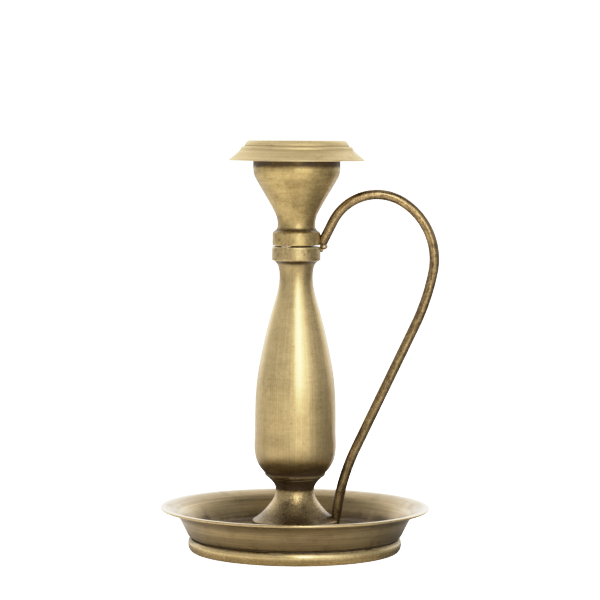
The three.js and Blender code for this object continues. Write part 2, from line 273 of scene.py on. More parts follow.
def turned(
    name, outline, facets=160, tarnish_and_shade=nowhere, corroded=nowhere, rubbed_and_lit=nowhere, shape=None,
    reach=0.25,
):
    """Revolves an outline about the stem's axis.

    The functions for the tarnish, corroded and rubbed marks give a point's marks from its radius and
    height; the tarnish mark holds tarnish and painted shade, and the rubbed mark wear and, on the
    stem's foot, a painted highlight. shape moves a vertex, given its angle and its point. An outline
    whose first and last points are on the axis closes there, with one vertex at each.
    """
    points = softened(outline.points, reach)
    run, hollow, edge = hollows_and_edges(points)
    aged = [(tarnish_and_shade(*p), corroded(*p)) for p in points]
    solid = points[0].x < 1e-6
    vertices, rows, marks = [], [], []
    for index, point in enumerate(points):
        # The edge and rubbed marks hold wear, and on the stem's foot a painted highlight.
        worn_and_lit = max(edge[index], rubbed_and_lit(*point))
        values = (run[index] * MM, hollow[index], worn_and_lit, *aged[index])
        if point.x < 1e-6:
            rows.append([len(vertices)] * facets)
            vertices.append(Vector((0, 0, point.y)) * MM)
            marks.append((*values, 0, 0))
            continue
        rows.append(list(range(len(vertices), len(vertices) + facets)))
        for facet in range(facets):
            angle = 2 * math.pi * facet / facets
            r, z = shape(angle, *point) if shape else point
            vertices.append(Vector((r * math.cos(angle), r * math.sin(angle), z)) * MM)
            marks.append((*values, math.cos(angle), math.sin(angle)))
    faces = []
    count = len(rows) - 1 if solid else len(rows)
    for index in range(count):
        low, high = rows[index], rows[(index + 1) % len(rows)]
        for facet in range(facets):
            following = (facet + 1) % facets
            corners = [low[facet], low[following], high[following], high[facet]]
            faces.append(tuple(dict.fromkeys(corners)))
    mesh = closed_mesh(name, vertices, faces)
    table = np.array(marks, np.float32)
    around = np.concatenate([table[:, 5:7], np.zeros((len(table), 1), np.float32)], 1)
    put_marks(mesh, {
        "run": table[:, 0], "hollow": table[:, 1], "edge": table[:, 2], "tarnish_and_shade": table[:, 3],
        "corroded": table[:, 4], "around": around,
    })
    return mesh


def lumps(name, parts, voxel=0.22, roughness=0.12, seed=0):
    """A blob of run metal: ellipsoids fused, smoothed and dimpled.

    Each part is (centre, size) in millimetres, as voxel and roughness are.
    """
    shape = bmesh.new()
    for centre, size in parts:
        place = Matrix.Translation(Vector(centre)) @ Matrix.Diagonal((*size, 1))
        bmesh.ops.create_icosphere(shape, subdivisions=4, radius=1, matrix=place)
    mesh = bpy.data.meshes.new(name + "_parts")
    shape.to_mesh(mesh)
    shape.free()
    maker = bpy.data.objects.new(name + "_maker", mesh)
    bpy.context.scene.collection.objects.link(maker)
    remesh = maker.modifiers.new("fuse", "REMESH")
    remesh.mode = "VOXEL"
    remesh.voxel_size = voxel
    smooth = maker.modifiers.new("flow", "SMOOTH")
    smooth.iterations = 6
    evaluated = maker.evaluated_get(bpy.context.evaluated_depsgraph_get())
    fused = bpy.data.meshes.new_from_object(evaluated)
    fused.name = name
    bpy.data.objects.remove(maker)
    offset = Vector((seed * 7.3, seed * 3.1, 0))
    normals = [v.normal.copy() for v in fused.vertices]
    for vertex, normal in zip(fused.vertices, normals):
        dimple = noise.noise(vertex.co * 0.9 + offset) + 0.5 * noise.noise(vertex.co * 2.3 + offset)
        vertex.co += normal * dimple * roughness
    put_marks(fused, {
        "run": [v.co.z * MM for v in fused.vertices],
        "hollow": [0.15 + 0.3 * noise.noise(v.co * 0.8 + offset) for v in fused.vertices],
        "edge": [0.2] * len(fused.vertices),
        "tarnish_and_shade": [max(0.0, noise.noise(v.co * 0.6 - offset)) for v in fused.vertices],
        "corroded": [1.0] * len(fused.vertices),
        "around": [n[:] for n in normals],
    })
    fused.transform(Matrix.Scale(MM, 4))
    return fused


# ------------------------------------------------------------------ materials

class Finish:
    """A material's node tree, with short calls for the nodes that the metals share."""

    def __init__(self, name):
        self.material = bpy.data.materials.new(name)
        self.material.use_nodes = True
        self.tree = self.material.node_tree
        self.tree.nodes.clear()

    def put(self, value, socket):
        if isinstance(value, bpy.types.NodeSocket):
            self.tree.links.new(value, socket)
        elif isinstance(value, tuple) and len(socket.default_value) == 4:
            socket.default_value = (*value[:3], 1)
        else:
            socket.default_value = value

    def node(self, kind, **settings):
        made = self.tree.nodes.new("ShaderNode" + kind)
        for key, value in settings.items():
            setattr(made, key, value)
        return made

    def mark(self, name, output="Fac"):
        return self.node("Attribute", attribute_name=name).outputs[output]

    def math(self, operation, a, b=0.0, c=None, clamp=False):
        made = self.node("Math", operation=operation, use_clamp=clamp)
        self.put(a, made.inputs[0])
        self.put(b, made.inputs[1])
        if c is not None:
            self.put(c, made.inputs[2])
        return made.outputs[0]

    def weighted(self, start, *terms):
        """start plus each factor times (value minus a half)."""
        total = start
        for value, factor in terms:
            if factor:
                lowered = self.math("ADD", total, -factor / 2)
                total = self.math("MULTIPLY_ADD", value, factor, lowered)
        return total

    def step(self, value, low, high, to_low=0.0, to_high=1.0):
        """A smooth step from to_low at low to to_high at high."""
        made = self.node("MapRange", interpolation_type="SMOOTHSTEP")
        for socket, given in zip(made.inputs, (value, low, high, to_low, to_high)):
            self.put(given, socket)
        return made.outputs[0]

    def mix(self, factor, a, b):
        made = self.node("Mix", data_type="RGBA", clamp_factor=True)
        self.put(factor, made.inputs[0])
        self.put(a, made.inputs[6])
        self.put(b, made.inputs[7])
        return made.outputs[2]

    def noise(self, vector, scale, detail=3.0, roughness=0.55, low=0.3, high=0.7):
        """Noise stretched so that low to high becomes 0 to 1."""
        made = self.node("TexNoise")
        self.put(vector, made.inputs["Vector"])
        for key, value in (("Scale", scale), ("Detail", detail), ("Roughness", roughness)):
            made.inputs[key].default_value = value
        return self.step(made.outputs[0], low, high)

    def wrapped(self, round_count, along):
        """Coordinates that go round the piece round_count wide, and along its outline."""
        wide = self.node("VectorMath", operation="SCALE")
        self.put(self.mark("around", "Vector"), wide.inputs[0])
        wide.inputs["Scale"].default_value = round_count
        length = self.node("CombineXYZ")
        self.put(self.math("MULTIPLY", self.mark("run"), along), length.inputs[2])
        total = self.node("VectorMath", operation="ADD")
        self.put(wide.outputs[0], total.inputs[0])
        self.put(length.outputs[0], total.inputs[1])
        return total.outputs[0]


def metal(
    name, pale, body, dark, roughness=0.32, spread=0.06, clouds=0.3, cloud_size=14,
    lines=0.3, line_turns=2.0, line_relief=0.006, streaks=0.2, streak_relief=0.004,
    streak_turns=48, streak_along=22, flecks=0.0, fleck_size=1.8, grain=0.1,
    grain_relief=0.0, grain_size=1.6, pits=0.0, stains=0.0, stain_size=9, soot=0.9, wear=0.6,
    coat=0.9, coat_roughness=0.16,
):
    """Aged metal. Lines run round a turned piece and streaks run along it; soot lies in hollows.

    Where dirt and painted shade lie thick the colour goes to dark, and elsewhere it lies between
    body and pale.
    Sizes and reliefs are in millimetres. The turns say how fast a pattern changes round a piece,
    and streak_along how fast it changes per metre along it. The rest are shares, 0 to about 1.
    """
    fine_lines, wide_bands, pits_per_metre = 1300, 300, 520
    f = Finish(name)
    place = f.node("TexCoord").outputs["Object"]
    cloud = f.noise(place, 1 / (cloud_size * MM), 5.0, 0.6)
    line = f.noise(f.wrapped(line_turns, fine_lines), 1.0, 3.0, 0.65)
    band = f.noise(f.wrapped(line_turns * 0.6, wide_bands), 1.0, 2.0)
    streak = f.noise(f.wrapped(streak_turns, streak_along), 1.0, 3.0, 0.6)
    speck = f.noise(place, 1 / (grain_size * MM), 4.0, 0.65)
    stain = f.noise(place, 1 / (stain_size * MM), 6.0, 0.7, 0.5, 0.72)
    hole = f.noise(place, pits_per_metre, 2.0, 0.5, 0.66, 0.74)
    fleck = f.noise(place, 1 / (fleck_size * MM), 4.0, 0.6, 0.44, 0.68)

    tone = f.weighted(
        0.5, (cloud, clouds), (line, lines), (band, lines * 0.6), (streak, streaks), (speck, grain)
    )
    colour = f.mix(f.math("MAXIMUM", tone, 0.0), body, pale)
    patchy = f.step(cloud, 0.0, 1.0, 0.78, 1.14)
    deep = f.math("MULTIPLY", f.math("MULTIPLY", f.mark("hollow"), soot), patchy)
    # The tarnish mark holds tarnish and painted shade, so the dirt here carries painted shade too.
    stained_and_shaded = f.math("MULTIPLY", f.mark("tarnish_and_shade"), patchy)
    pitted = f.math("MULTIPLY", hole, pits)
    blotchy = f.math("MULTIPLY_ADD", f.mark("tarnish_and_shade"), 0.4, stains, clamp=True)
    flecked = f.math("MULTIPLY", f.math("MULTIPLY", f.mark("corroded"), flecks), fleck)
    spotted = f.math("ADD", f.math("MULTIPLY_ADD", stain, blotchy, pitted), flecked)
    dirt_and_shade = f.math("ADD", f.math("ADD", deep, stained_and_shaded), spotted, clamp=True)
    uneven = f.step(speck, 0, 0.6, 0.5, 1)
    # The edge mark holds wear, and on the stem's foot a painted highlight.
    rubbed_and_lit = f.math("MULTIPLY", f.math("MULTIPLY", f.mark("edge"), wear), uneven)
    colour = f.mix(dirt_and_shade, colour, dark)
    colour = f.mix(rubbed_and_lit, colour, pale)

    # Dirt and painted shade are rougher than the metal and keep no lacquer, and where thickest they
    # turn from metal to oxide.
    rough = f.weighted(
        roughness, (cloud, spread), (line, spread), (speck, spread), (streak, spread / 2)
    )
    rough = f.math("MULTIPLY_ADD", dirt_and_shade, 0.16, rough, clamp=True)
    oxide_and_shade = f.step(dirt_and_shade, 0.85, 1.0, 1.0, 0.15)

    relief = f.weighted(0.0, (line, line_relief), (streak, streak_relief), (speck, grain_relief))
    relief = f.math("MULTIPLY_ADD", pitted, -0.03, relief)
    bump = f.node("Bump")
    bump.inputs["Strength"].default_value = 1.0
    bump.inputs["Distance"].default_value = MM
    f.put(relief, bump.inputs["Height"])

    shader = f.node("BsdfPrincipled")
    f.put(f.math("MULTIPLY_ADD", dirt_and_shade, -0.85 * coat, coat), shader.inputs["Coat Weight"])
    shader.inputs["Coat Roughness"].default_value = coat_roughness
    f.put(colour, shader.inputs["Base Color"])
    f.put(oxide_and_shade, shader.inputs["Metallic"])
    f.put(rough, shader.inputs["Roughness"])
    f.put(bump.outputs[0], shader.inputs["Normal"])
    output = f.node("OutputMaterial")
    f.put(shader.outputs[0], output.inputs[0])
    return f.material


UMBER = (0.066, 0.040, 0.018)


def cap_brass():
    return metal(
        "pale spun brass", (0.90, 0.74, 0.43), (0.72, 0.56, 0.27), (0.34, 0.25, 0.13),
        roughness=0.60, clouds=0.4, cloud_size=12, lines=0.7, line_turns=1.2, line_relief=0.006,
        streaks=0.05, grain=0.35, stains=0.3, soot=0.6, coat=0.35, coat_roughness=0.45,
    )


def stem_brass():
    return metal(
        "turned brass, brushed", (0.82, 0.635, 0.315), (0.47, 0.34, 0.132), UMBER, roughness=0.33,
        clouds=0.25, lines=0.15, streaks=0.4, streak_relief=0.007, flecks=0.45, grain=0.25,
        pits=0.2, stains=0.08, coat=0.8, coat_roughness=0.25,
    )


def cup_brass():
    return metal(
        "turned brass, ringed", (0.73, 0.55, 0.24), (0.36, 0.255, 0.085), UMBER, roughness=0.37,
        clouds=0.5, cloud_size=10, lines=0.3, line_turns=2, streaks=0.15, flecks=0.45, pits=0.25,
        grain=0.35, stains=0.25, coat=0.6, coat_roughness=0.25,
    )


def foot_brass():
    return metal(
        "sand-cast brass", (0.66, 0.49, 0.235), (0.07, 0.048, 0.024), UMBER, roughness=0.25,
        clouds=0.3, cloud_size=8, lines=0.0, line_relief=0.0, streaks=0.0, streak_relief=0.0,
        grain=0.5, grain_relief=0.06, grain_size=1.1, pits=0.3, stains=0.1, wear=0.35, coat=0.15,
        coat_roughness=0.25,
    )


def tray_brass():
    return metal(
        "spun tray brass", (0.70, 0.53, 0.26), (0.35, 0.255, 0.12), UMBER, roughness=0.31,
        clouds=0.4, lines=0.6, line_turns=1.2, streaks=0.0, stains=0.06, stain_size=10,
        coat=0.85, coat_roughness=0.2,
    )


def ring_brass():
    return metal(
        "foot ring brass", (0.93, 0.73, 0.37), (0.63, 0.465, 0.205), UMBER, roughness=0.26,
        clouds=0.7, cloud_size=22, lines=0.5, line_turns=1.2, streaks=0.05, stains=0.2,
        stain_size=14, coat=0.6,
    )


def rod_brass():
    return metal(
        "bent rod brass", (0.58, 0.41, 0.185), (0.14, 0.093, 0.038), UMBER, roughness=0.27,
        clouds=0.4, cloud_size=5, lines=0.0, streaks=0.8, streak_relief=0.02, streak_turns=4,
        streak_along=90, flecks=0.3, fleck_size=0.9, grain=0.5, grain_relief=0.02, pits=0.4,
        stains=0.3, stain_size=4, coat=0.5, coat_roughness=0.25,
    )


def braze_metal():
    return metal(
        "brazing metal", (0.82, 0.66, 0.42), (0.46, 0.33, 0.17), UMBER, roughness=0.36,
        clouds=0.8, cloud_size=3, lines=0.0, line_relief=0.0, streaks=0.0, streak_relief=0.0,
        grain=0.6, grain_relief=0.03, pits=0.5, stains=0.3, stain_size=3, coat=0.5,
    )


def socket_brass():
    return metal(
        "drawn socket brass", (0.66, 0.50, 0.24), (0.44, 0.33, 0.15), UMBER, roughness=0.36,
        lines=0.4, streaks=0.1, stains=0.3, coat=0.3,
    )


def steel():
    return metal(
        "zinc-plated steel", (0.62, 0.62, 0.60), (0.42, 0.42, 0.41), (0.10, 0.08, 0.06),
        roughness=0.34, clouds=0.5, cloud_size=6, lines=0.1, streaks=0.1, grain=0.4,
        stains=0.3, stain_size=5, coat=0.0,
    )


# ------------------------------------------------------------------ base

def make_foot_ring():
    o = Outline(RING_INNER, RING_BASE).flow(RING_SIDE)
    o.line(RING_LIP, RING_TOP - 0.5).line(RING_LIP, RING_TOP).line(RING_INNER, RING_TOP)

    def tarnish_and_shade(radius, height):
        """Dark inside the hoop, in the groove under the tray, and a little along the table; the
        groove band is painted shade under the tray's bottom corner, over patina.
        """
        inside = 0.75 if radius < RING_INNER + 0.4 else 0.0
        # Painted shade: the band at the ring's top, under the tray's overhang, partly patina.
        return max(inside, ramped(height, 5.5, 6.9) * 0.95, 0.1 - height * 0.1)

    mesh = turned("foot_ring_metal", o, facets=256, tarnish_and_shade=tarnish_and_shade)
    make_piece("foot_ring_metal", mesh, ring_brass(), "stand", "tray_brass", "foot_ring")


def make_tray():
    edge, flare, lean, corner = SHEET / 2, 12.0, math.radians(27), 59.7
    bend_outside, bend_inside, floor_radius = 1.9, 2.6, 56.4
    centre = (RIM_RADIUS - edge, TRAY_RIM - SHEET - flare)
    inward = SHEET / math.cos(lean)
    mid_sheet = 0.7

    def wall_at(height):
        return corner + (height - TRAY_UNDER) * math.tan(lean)

    o = Outline(ROD_HOLE, TRAY_UNDER).line(corner - bend_outside, TRAY_UNDER)
    o.bend((corner, TRAY_UNDER), (wall_at(FLOOR), FLOOR))
    o.arc(centre, flare, 180 - 27, 90)
    o.arc((centre[0], TRAY_RIM - edge), edge, -84, 84, steps=12)
    o.arc(centre, flare + SHEET, 90, 180 - 27)
    o.line(wall_at(FLOOR + bend_inside) - inward, FLOOR + bend_inside)
    o.bend((wall_at(FLOOR) - inward, FLOOR), (floor_radius, FLOOR))
    o.line(ROD_HOLE, FLOOR)

    def tarnish_and_shade(radius, height):
        """Dark on the floor and up the wall inside, and painted shade on the bend into the groove
        below and under the flare.
        """
        inside = radius < wall_at(height) - mid_sheet
        if inside:
            return 0.66 - 0.62 * ramped(height, FLOOR + 3, TRAY_RIM - 2)
        # Painted shade: the bend under the tray for its dark reflection of the groove, and the wall
        # under the flare for the rim's shadow.
        below = 0.75 - 0.75 * ramped(height, TRAY_UNDER + 0.2, TRAY_UNDER + 4.0)
        under_flare = 0.38 * ramped(height, 17.0, 22.0) * (1 - ramped(radius, 72, 74.5))
        return max(below, under_flare)

    mesh = turned("tray_metal", o, facets=256, tarnish_and_shade=tarnish_and_shade)
    make_piece("tray_metal", mesh, tray_brass(), "stand", "tray_brass", "tray")


def make_stem_foot():
    wall = 3.0
    radius = FOOT_SIDE[0][0]
    o = Outline(radius, FOOT_BASE).flow(FOOT_SIDE).line(ROD_HOLE, FOOT_TOP)
    o.line(ROD_HOLE, FOOT_TOP - wall).flow(FOOT_INSIDE).line(radius - wall, FOOT_BASE)

    def tarnish_and_shade(radius, height):
        """Darker towards the bottom of the flare, and painted shade above the waist, under the
        belly.
        """
        # Painted shade above the waist, under the stem's bead and belly.
        return 0.56 - 0.5 * ramped(height, 19, 28) + 0.9 * ramped(height, 34.4, 36.0)

    def rubbed_and_lit(radius, height):
        """Pale from the flare's lower part up to the waist: wear, and a painted highlight where the
        key lamp reflects.
        """
        # Painted highlight, partly wear: the pale band lies where the key lamp reflects.
        return ramped(height, 21, 26) * (1 - ramped(height, 33.5, 35))

    mesh = turned("stem_foot_metal", o, tarnish_and_shade=tarnish_and_shade, rubbed_and_lit=rubbed_and_lit, reach=0.5)
    make_piece("stem_foot_metal", mesh, foot_brass(), "stand", "foot_brass", "stem_foot")


# ------------------------------------------------------------------ stem, cup, cap and socket

COLLAR_LOWER, COLLAR_UPPER, COLLAR_BASE, SPIGOT_RADIUS = 13.7, 13.5, 163.9, 8.0


def make_stem():
    chamfer = 0.4
    bead, bead_top = STEM_SIDE[0][:2]
    wall = 2.8
    o = Outline(FOOT_SIDE[-1][0] + chamfer, STEM_BASE)
    o.line(bead - chamfer / 2, STEM_BASE + 3 * chamfer)
    o.flow(STEM_SIDE, steps=26).line(COLLAR_LOWER, COLLAR_BASE).line(COLLAR_LOWER, COLLAR_GAP)
    o.line(SPIGOT_RADIUS, COLLAR_GAP).line(SPIGOT_RADIUS, SPIGOT_TOP).line(ROD_HOLE, SPIGOT_TOP)
    o.line(ROD_HOLE, COLLAR_BASE - wall).flow(STEM_INSIDE).line(bead - wall, bead_top + wall)
    o.line(ROD_HOLE, bead_top + 1).line(ROD_HOLE, STEM_BASE)

    def tarnish_and_shade(radius, height):
        """Darkest at the bead, fading up the belly, then again at the neck and in the gap; the cove
        under the lower collar and the gap are painted shade.
        """
        low = 1.0 - 0.5 * ramped(height, 44.5, 51.5) - 0.25 * ramped(height, 49.0, 60.0)
        low -= 0.25 * ramped(height, 58.0, 90.0)
        # Painted shade in the cove under the lower collar.
        neck = max(0.0, 1 - abs(height - 163.2) / 1.6)
        neck += 0.42 * ramped(height, 138.0, 158.0) * (1 - ramped(height, 162.0, 164.0))
        # Painted shade inside the gap between the collars.
        in_gap = 2.0 if height > COLLAR_GAP - 0.1 else 0.0
        collar = 0.18 if height > COLLAR_BASE else 0.0
        return 0.92 * low + 0.7 * neck + in_gap + collar

    def corroded(radius, height):
        """Only the lower collar is flecked."""
        return ramped(height, COLLAR_BASE - 1, COLLAR_BASE)

    mesh = turned("stem_metal", o, tarnish_and_shade=tarnish_and_shade, corroded=corroded, reach=0.6)
    make_piece("stem_metal", mesh, stem_brass(), "stand", "stem_brass", "stem")


def make_candle_cup():
    floor, floor_radius, mouth = 188.5, 8.2, 22.0
    gap = 0.3
    radius = CUP_SIDE[-1][0]
    tilt, drop = 0.16, 0.74

    def oblique(angle, r, z):
        """The collar's underside isn't quite square, so the gap is a little wider on the right."""
        low = max(0.0, 1 - (z - CUP_BASE) / 2.0)
        return r, z + (tilt * math.cos(angle) - drop) * low * min(1.0, r / COLLAR_UPPER)

    # The straight rim has points where the painted shadow band below the cap starts.
    o = Outline(COLLAR_UPPER, CUP_BASE).flow(CUP_SIDE, steps=22)
    for height in (216.0, 216.6, 217.2, 218.4, CUP_RIM):
        o.line(radius, height)
    o.line(mouth, CUP_RIM).flow(CUP_INSIDE).line(floor_radius, floor).line(ROD_HOLE, floor)
    o.line(ROD_HOLE, SPIGOT_TOP + gap).line(SPIGOT_RADIUS + gap, SPIGOT_TOP + gap)
    o.line(SPIGOT_RADIUS + gap, CUP_BASE)

    def tarnish_and_shade(radius, height):
        """Painted shade in the gap and in the hollow above the collar, and a band below the cap
        painted as its shadow, partly patina.
        """
        # Painted shade in the hollow above the upper collar.
        neck = max(0.0, 1 - abs(height - 180.2) / 2.2)
        # Painted shadow of the cap's brim, partly patina.
        below_cap = ramped(height, 214.8, 217.2)
        # Painted shade in the gap between the collars.
        in_gap = 2.0 if height < CUP_BASE + 0.1 else 0.0
        waist = 0.12 * ramped(height, 181, 186) * (1 - ramped(height, 196, 212))
        return waist + 0.6 * neck + 0.93 * below_cap + in_gap

    def corroded(radius, height):
        """Only the upper collar is flecked."""
        return 1 - ramped(height, 179, 184)

    mesh = turned(
        "candle_cup_metal", o, tarnish_and_shade=tarnish_and_shade, corroded=corroded, shape=oblique, reach=0.6
    )
    make_piece("candle_cup_metal", mesh, cup_brass(), "stand", "stem_brass", "candle_cup")


def make_drip_cap():
    dish, bore, sheet, seat = 229.2, 12.9, 1.3, 26.4
    shoulder, shoulder_height = 28.6, 226.4
    register_outer, register_inner = 21.3, 20.1
    under = CUP_RIM + 0.3
    o = Outline(bore, dish).line(bore, dish - sheet).line(register_inner, dish - sheet)
    o.line(register_inner, REGISTER_BASE).line(register_outer, REGISTER_BASE)
    o.line(register_outer, under).line(seat, under).line(shoulder, shoulder_height)
    o.flow(SKIRT_INSIDE).flow(SKIRT).flow(LOWER_STEP).flow(UPPER_STEP).flow(TOP_STEP)
    o.line(24.5, CAP_TOP).line(21.0, dish)
    mesh = turned("drip_cap_metal", o, facets=224)
    make_piece("drip_cap_metal", mesh, cap_brass(), "nozzle", "cap_brass", "drip_cap")


def make_candle_socket():
    bore, outer, floor, flange, chamfer = 11.6, 12.5, 204.2, 15.4, 0.8
    flange_base = 229.5
    o = Outline(0, SOCKET_BASE).line(outer - chamfer, SOCKET_BASE)
    o.line(outer, SOCKET_BASE + chamfer).line(outer, flange_base).line(flange, flange_base)
    o.bend((flange, SOCKET_TOP), (bore + 1.2, SOCKET_TOP))
    o.bend((bore, SOCKET_TOP), (bore, SOCKET_TOP - 1.1))
    o.line(bore, floor).line(0, floor)

    def tarnish_and_shade(radius, height):
        """Sooty down in the bore."""
        return 0.7 if radius < bore + 0.2 and height < SOCKET_TOP - 6 else 0.1

    name = "candle_socket_metal"
    mesh = turned(name, o, facets=128, tarnish_and_shade=tarnish_and_shade)
    make_piece(name, mesh, socket_brass(), "nozzle", "socket_brass", "candle_socket")


# ------------------------------------------------------------------ handle and its joints

HANDLE_SPACING = 1.2


def handle_route():
    """Points along the bends in the XZ plane, in millimetres, each with its heading in radians."""
    x, z = HANDLE_START
    angle = math.radians(HANDLE_HEADING)
    route = [(x, z, angle)]
    for part in BENDS:
        turn = math.radians(part.get("turn", 0))
        length = part.get("straight") or part["bend"] * abs(turn)
        steps = math.ceil(length / HANDLE_SPACING)
        for _ in range(steps):
            middle = angle - turn / steps / 2
            chord = length / steps
            x += chord * math.cos(middle)
            z += chord * math.sin(middle)
            angle -= turn / steps
            route.append((x, z, angle))
    return route


def make_handle(sides=32):
    """The rod, rippled a little and thinned at its lower end.

    It is thinner than the CAD's rod by the inset, because the ripple has to stay inside its flats.
    """
    inset, ripple_height = 0.17, 0.03
    thinned, thinned_steps = 0.16, 7
    route = handle_route()
    total = len(route) - 1
    vertices, marks = [], []
    for index, (x, z, angle) in enumerate(route):
        across = Vector((-math.sin(angle), 0, math.cos(angle)))
        left = total - index
        taper = 1 - thinned * max(0.0, 1 - left / thinned_steps) ** 1.5
        for side in range(sides):
            phi = 2 * math.pi * side / sides
            out = across * math.cos(phi) + Vector((0, 1, 0)) * math.sin(phi)
            centre = Vector((x, 0, z))
            ripple = ripple_height * noise.noise((centre + out * 3) * 0.35)
            vertices.append((centre + out * (HANDLE_RADIUS - inset + ripple) * taper) * MM)
            marks.append((index * HANDLE_SPACING * MM, math.cos(phi), math.sin(phi)))
    faces = []
    for index in range(total):
        for side in range(sides):
            low, high = index * sides, (index + 1) * sides
            following = (side + 1) % sides
            faces.append((low + side, low + following, high + following, high + side))
    faces.append(tuple(range(sides)))
    faces.append(tuple(range(total * sides, (total + 1) * sides)))
    mesh = closed_mesh("handle_metal", vertices, faces)
    table = np.array(marks, np.float32)
    # Darker inside and outside the bends, as painted shade for the rod's dark edge reflections, down
    # the lower run, and in the joints.
    ends = np.minimum(table[:, 0], total * HANDLE_SPACING * MM - table[:, 0])
    # Painted shade: the rod's inner and outer flanks.
    flank = np.abs(table[:, 1]) ** 4
    lower = np.clip((table[:, 0] / table[:, 0].max() - 0.4) / 0.5, 0, 1)
    put_marks(mesh, {
        "run": table[:, 0],
        "hollow": np.clip(1 - ends / (6 * MM), 0, 1) * 0.5,
        "edge": np.zeros(len(table)),
        "tarnish_and_shade": 0.06 + 0.7 * flank + 0.3 * lower,
        "corroded": np.ones(len(table)),
        "around": np.stack([table[:, 1], table[:, 2], np.zeros(len(table))], 1),
    })
    make_piece("handle_metal", mesh, rod_brass(), "stand", "handle_brass", "handle")


def make_joints():
    """The brazing metal at the handle's two ends, and the tack of solder between the collars."""
    material = braze_metal()
    top = lumps("handle_top_braze_metal", [
        ((15.4, 0, 171.6), (2.3, 3.2, 1.9)),
        ((14.2, 0, 174.6), (1.3, 2.4, 2.3)),
        ((14.2, -0.3, 169.7), (0.9, 1.5, 1.5)),
    ], seed=1)
    make_piece("handle_top_braze_metal", top, material, "stand", "braze", "handle_top_braze")
    bottom = lumps("handle_foot_braze_metal", [
        ((25.2, -0.3, 10.7), (4.4, 4.4, 1.1)),
        ((24.6, -0.2, 12.2), (2.4, 3.4, 2.2)),
    ], seed=2)
    make_piece("handle_foot_braze_metal", bottom, material, "stand", "braze", "handle_foot_braze")
    low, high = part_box("collar_solder_bead")
    bead = (low + high) / 2 - AXIS
    middle = Vector((bead.x / MM, bead.y / MM, bead.z / MM))
    across = Vector((-middle.y, middle.x, 0)).normalized()
    tack = lumps("collar_solder_metal", [
        (middle, (1.9, 1.3, 1.5)),
        (middle + across * 1.8 + Vector((0, 0, 0.1)), (1.3, 1.0, 0.9)),
        (middle - across * 1.8 - Vector((0, 0, 0.4)), (1.2, 1.1, 1.0)),
    ], voxel=0.12, roughness=0.08, seed=3)
    make_piece("collar_solder_metal", tack, material, "stand", "braze", "collar_solder_bead")


# ------------------------------------------------------------------ fasteners under the tray

def make_tie_rod():
    """The rod's ends are threaded, with a plain shank between them."""
    radius, pitch, depth, chamfer, threaded = 3.0, 1.0, 0.5, 0.6, 14
    o = Outline(0, ROD_BASE).line(radius - chamfer, ROD_BASE)
    step = 0.125
    threads = (ROD_BASE + chamfer, ROD_BASE + threaded), (ROD_TOP - threaded, ROD_TOP - chamfer)
    for low, high in threads:
        for index in range(int((high - low) / step) + 1):
            o.line(radius, low + index * step)
    o.line(radius - chamfer, ROD_TOP).line(0, ROD_TOP)

    def thread(angle, r, z):
        from_end = min(z - ROD_BASE, ROD_TOP - z)
        if r < radius - 0.01 or from_end > threaded:
            return r, z
        phase = (z / pitch - angle / (2 * math.pi)) % 1
        fade = min(1.0, (threaded - from_end) / 1.5)
        return r - depth * fade * abs(2 * phase - 1), z

    mesh = turned("tie_rod_metal", o, facets=48, shape=thread, reach=0.05)
    make_piece("tie_rod_metal", mesh, steel(), "stand", "steel", "tie_rod")


def make_washer():
    low, high = heights("washer")
    radius = outer_radius("washer")
    o = Outline(ROD_HOLE, low).line(radius, low).line(radius, high).line(ROD_HOLE, high)
    mesh = turned("washer_metal", o, facets=96, reach=0.3)
    make_piece("washer_metal", mesh, steel(), "stand", "steel", "washer")


def make_lock_washer(steps=96, split=14):
    """A split ring whose two ends stand a little apart in height."""
    low, high = heights("lock_washer")
    spring, radius = 0.1, 5.5
    section = softened([
        Vector((ROD_HOLE, low + spring)), Vector((radius, low + spring)),
        Vector((radius, high - spring)), Vector((ROD_HOLE, high - spring)),
    ], 0.2)
    size = len(section)
    vertices = []
    for step in range(steps + 1):
        share = step / steps
        angle = math.radians(split / 2 + (360 - split) * share)
        lift = spring * (2 * share - 1)
        for r, z in section:
            vertices.append(Vector((r * math.cos(angle), r * math.sin(angle), z + lift)) * MM)
    faces = [tuple(range(size)), tuple(range(steps * size, (steps + 1) * size))]
    for step in range(steps):
        for corner in range(size):
            a, b = step * size + corner, step * size + (corner + 1) % size
            faces.append((a, b, b + size, a + size))
    mesh = closed_mesh("lock_washer_metal", vertices, faces)
    put_plain_marks(mesh)
    make_piece("lock_washer_metal", mesh, steel(), "stand", "steel", "lock_washer")


def put_plain_marks(mesh):
    """The same marks everywhere, for a piece that isn't turned."""
    count = len(mesh.vertices)
    put_marks(mesh, {
        "run": [v.co.z for v in mesh.vertices],
        "hollow": [0.1] * count,
        "edge": [0.1] * count,
        "tarnish_and_shade": [0.1] * count,
        "around": [(v.co.x, v.co.y, 0) for v in mesh.vertices],
    })


